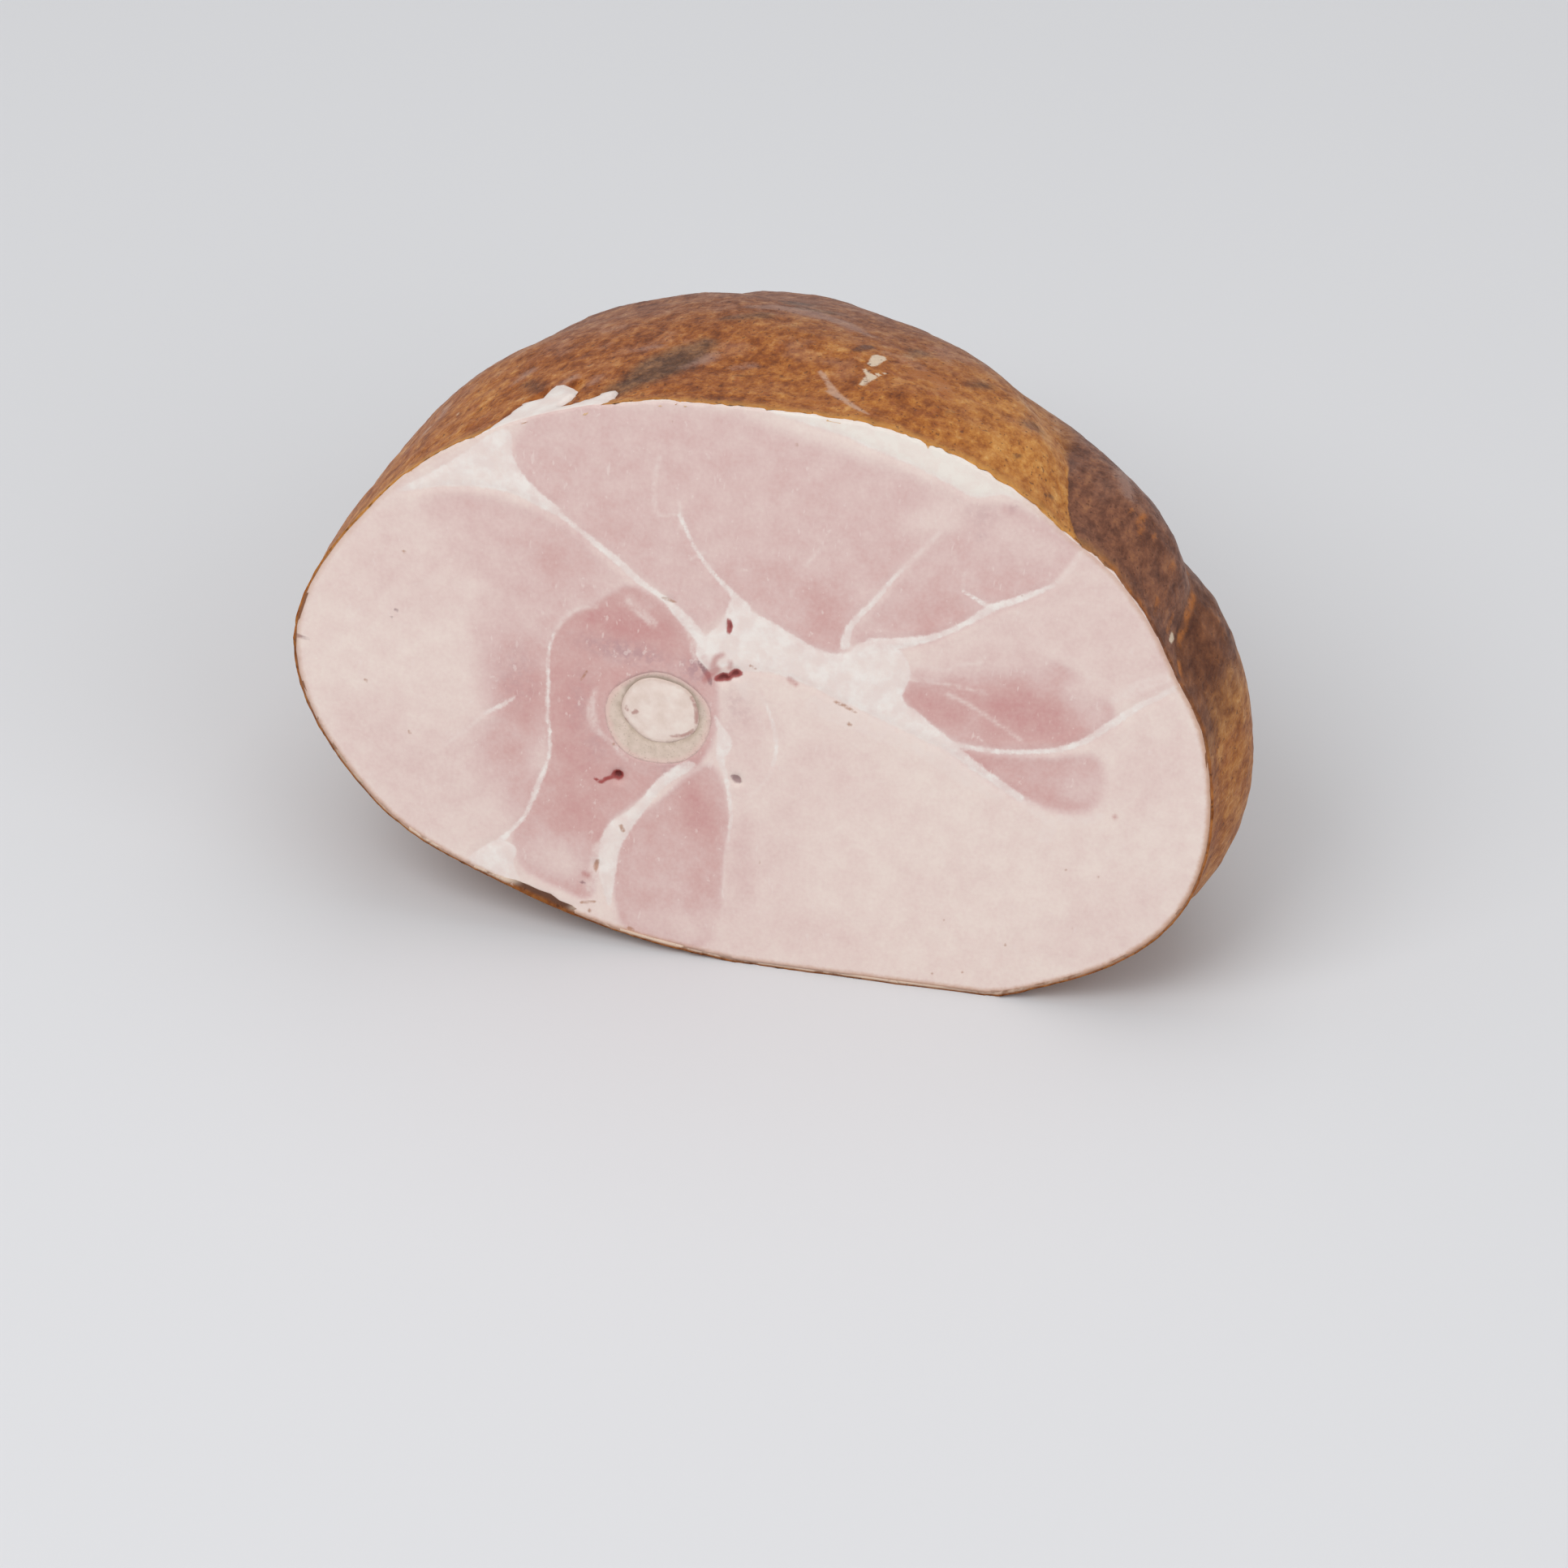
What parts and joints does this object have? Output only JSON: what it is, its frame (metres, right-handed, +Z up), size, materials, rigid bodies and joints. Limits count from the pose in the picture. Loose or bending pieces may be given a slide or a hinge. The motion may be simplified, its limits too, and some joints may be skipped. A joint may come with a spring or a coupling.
{
  "type": "bone-in half ham",
  "caption": "Cooked and smoked half ham on the bone, lying on its side, with a broad saw cut across the thigh and brown rind that tapers to a small shank end.",
  "frame": {"origin": "middle of the ham's footprint, on the surface that it lies on", "axes": "+Z up; +X to the right as one faces the saw cut, along its long side; +Y from the saw cut towards the shank end. The cut faces -Y and leans back 13 degrees."},
  "size_m": [0.2176, 0.2066, 0.1306],
  "materials": {
    "ham": "moist satin pink meat on the cuts, matt to satin golden and dark brown smoked rind round them",
    "bone": "sawn compact bone, cream to greenish beige, satin",
    "marrow": "soft cooked marrow, pinkish cream, satin"
  },
  "bodies": {
    "root": {"ham_meat": "ham", "leg_bone": "bone", "bone_marrow": "marrow"}
  },
  "joints": []
}
